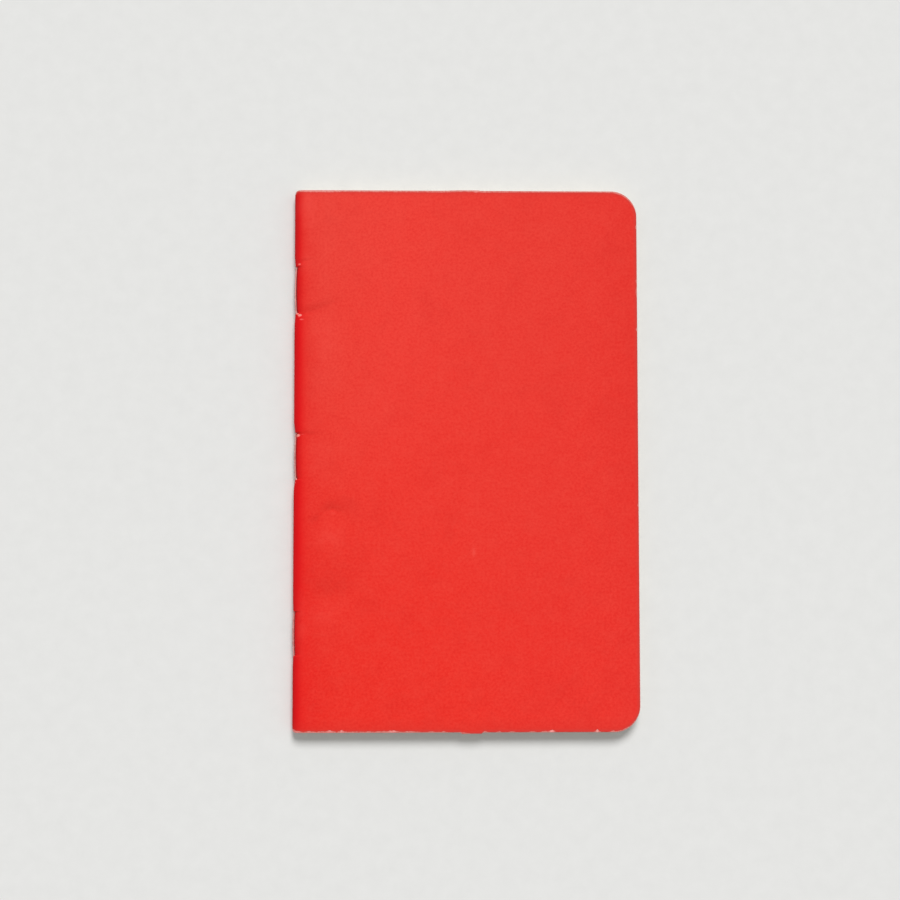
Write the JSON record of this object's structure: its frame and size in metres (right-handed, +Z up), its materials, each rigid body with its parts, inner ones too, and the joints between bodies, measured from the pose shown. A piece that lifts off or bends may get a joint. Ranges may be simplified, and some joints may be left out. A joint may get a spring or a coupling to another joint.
{
  "type": "notebook",
  "caption": "Closed pocket memo book: a red card cover folded round wire-stapled paper leaves, with rounded fore-edge corners, opening at any page.",
  "frame": {"origin": "middle of the footprint of the closed notebook, on the surface it lies on", "axes": "+X from the spine to the fore edge, +Y up the page, +Z up through the front cover"},
  "size_m": [0.0891, 0.1403, 0.004],
  "materials": {
    "cover_card": "matte red printed card with a white core",
    "page_paper": "matte uncoated off-white",
    "staple_wire": "satin galvanised wire"
  },
  "bodies": {
    "front_cover": {"front_cover": "cover_card"},
    "leaf_01": {"leaf_01": "page_paper"},
    "leaf_02": {"leaf_02": "page_paper"},
    "leaf_03": {"leaf_03": "page_paper"},
    "leaf_04": {"leaf_04": "page_paper"},
    "leaf_05": {"leaf_05": "page_paper"},
    "leaf_06": {"leaf_06": "page_paper"},
    "leaf_07": {"leaf_07": "page_paper"},
    "leaf_08": {"leaf_08": "page_paper"},
    "leaf_09": {"leaf_09": "page_paper"},
    "leaf_10": {"leaf_10": "page_paper"},
    "leaf_11": {"leaf_11": "page_paper"},
    "leaf_12": {"leaf_12": "page_paper"},
    "leaf_13": {"leaf_13": "page_paper", "staple_top": "staple_wire", "staple_middle": "staple_wire", "staple_bottom": "staple_wire"},
    "leaf_14": {"leaf_14": "page_paper"},
    "leaf_15": {"leaf_15": "page_paper"},
    "leaf_16": {"leaf_16": "page_paper"},
    "leaf_17": {"leaf_17": "page_paper"},
    "leaf_18": {"leaf_18": "page_paper"},
    "leaf_19": {"leaf_19": "page_paper"},
    "leaf_20": {"leaf_20": "page_paper"},
    "leaf_21": {"leaf_21": "page_paper"},
    "leaf_22": {"leaf_22": "page_paper"},
    "leaf_23": {"leaf_23": "page_paper"},
    "leaf_24": {"leaf_24": "page_paper"},
    "back_cover": {"back_cover": "cover_card"}
  },
  "joints": [
    {"name": "turn_front_cover", "type": "hinge", "parent": "leaf_01", "child": "front_cover", "pos_m": [-0.04445, 0, 0.00199], "axis": [0, -1, 0], "range_deg": [0, 180]},
    {"name": "turn_leaf_01", "type": "hinge", "parent": "leaf_02", "child": "leaf_01", "pos_m": [-0.04445, 0, 0.00199], "axis": [0, -1, 0], "range_deg": [0, 180]},
    {"name": "turn_leaf_02", "type": "hinge", "parent": "leaf_03", "child": "leaf_02", "pos_m": [-0.04445, 0, 0.00199], "axis": [0, -1, 0], "range_deg": [0, 180]},
    {"name": "turn_leaf_03", "type": "hinge", "parent": "leaf_04", "child": "leaf_03", "pos_m": [-0.04445, 0, 0.00199], "axis": [0, -1, 0], "range_deg": [0, 180]},
    {"name": "turn_leaf_04", "type": "hinge", "parent": "leaf_05", "child": "leaf_04", "pos_m": [-0.04445, 0, 0.00199], "axis": [0, -1, 0], "range_deg": [0, 180]},
    {"name": "turn_leaf_05", "type": "hinge", "parent": "leaf_06", "child": "leaf_05", "pos_m": [-0.04445, 0, 0.00199], "axis": [0, -1, 0], "range_deg": [0, 180]},
    {"name": "turn_leaf_06", "type": "hinge", "parent": "leaf_07", "child": "leaf_06", "pos_m": [-0.04445, 0, 0.00199], "axis": [0, -1, 0], "range_deg": [0, 180]},
    {"name": "turn_leaf_07", "type": "hinge", "parent": "leaf_08", "child": "leaf_07", "pos_m": [-0.04445, 0, 0.00199], "axis": [0, -1, 0], "range_deg": [0, 180]},
    {"name": "turn_leaf_08", "type": "hinge", "parent": "leaf_09", "child": "leaf_08", "pos_m": [-0.04445, 0, 0.00199], "axis": [0, -1, 0], "range_deg": [0, 180]},
    {"name": "turn_leaf_09", "type": "hinge", "parent": "leaf_10", "child": "leaf_09", "pos_m": [-0.04445, 0, 0.00199], "axis": [0, -1, 0], "range_deg": [0, 180]},
    {"name": "turn_leaf_10", "type": "hinge", "parent": "leaf_11", "child": "leaf_10", "pos_m": [-0.04445, 0, 0.00199], "axis": [0, -1, 0], "range_deg": [0, 180]},
    {"name": "turn_leaf_11", "type": "hinge", "parent": "leaf_12", "child": "leaf_11", "pos_m": [-0.04445, 0, 0.00199], "axis": [0, -1, 0], "range_deg": [0, 180]},
    {"name": "turn_leaf_12", "type": "hinge", "parent": "leaf_13", "child": "leaf_12", "pos_m": [-0.04445, 0, 0.00199], "axis": [0, -1, 0], "range_deg": [0, 180]},
    {"name": "turn_leaf_13", "type": "hinge", "parent": "leaf_14", "child": "leaf_13", "pos_m": [-0.04445, 0, 0.00199], "axis": [0, -1, 0], "range_deg": [0, 180]},
    {"name": "turn_leaf_14", "type": "hinge", "parent": "leaf_15", "child": "leaf_14", "pos_m": [-0.04445, 0, 0.00199], "axis": [0, -1, 0], "range_deg": [0, 180]},
    {"name": "turn_leaf_15", "type": "hinge", "parent": "leaf_16", "child": "leaf_15", "pos_m": [-0.04445, 0, 0.00199], "axis": [0, -1, 0], "range_deg": [0, 180]},
    {"name": "turn_leaf_16", "type": "hinge", "parent": "leaf_17", "child": "leaf_16", "pos_m": [-0.04445, 0, 0.00199], "axis": [0, -1, 0], "range_deg": [0, 180]},
    {"name": "turn_leaf_17", "type": "hinge", "parent": "leaf_18", "child": "leaf_17", "pos_m": [-0.04445, 0, 0.00199], "axis": [0, -1, 0], "range_deg": [0, 180]},
    {"name": "turn_leaf_18", "type": "hinge", "parent": "leaf_19", "child": "leaf_18", "pos_m": [-0.04445, 0, 0.00199], "axis": [0, -1, 0], "range_deg": [0, 180]},
    {"name": "turn_leaf_19", "type": "hinge", "parent": "leaf_20", "child": "leaf_19", "pos_m": [-0.04445, 0, 0.00199], "axis": [0, -1, 0], "range_deg": [0, 180]},
    {"name": "turn_leaf_20", "type": "hinge", "parent": "leaf_21", "child": "leaf_20", "pos_m": [-0.04445, 0, 0.00199], "axis": [0, -1, 0], "range_deg": [0, 180]},
    {"name": "turn_leaf_21", "type": "hinge", "parent": "leaf_22", "child": "leaf_21", "pos_m": [-0.04445, 0, 0.00199], "axis": [0, -1, 0], "range_deg": [0, 180]},
    {"name": "turn_leaf_22", "type": "hinge", "parent": "leaf_23", "child": "leaf_22", "pos_m": [-0.04445, 0, 0.00199], "axis": [0, -1, 0], "range_deg": [0, 180]},
    {"name": "turn_leaf_23", "type": "hinge", "parent": "leaf_24", "child": "leaf_23", "pos_m": [-0.04445, 0, 0.00199], "axis": [0, -1, 0], "range_deg": [0, 180]},
    {"name": "turn_leaf_24", "type": "hinge", "parent": "back_cover", "child": "leaf_24", "pos_m": [-0.04445, 0, 0.00199], "axis": [0, -1, 0], "range_deg": [0, 180]}
  ]
}
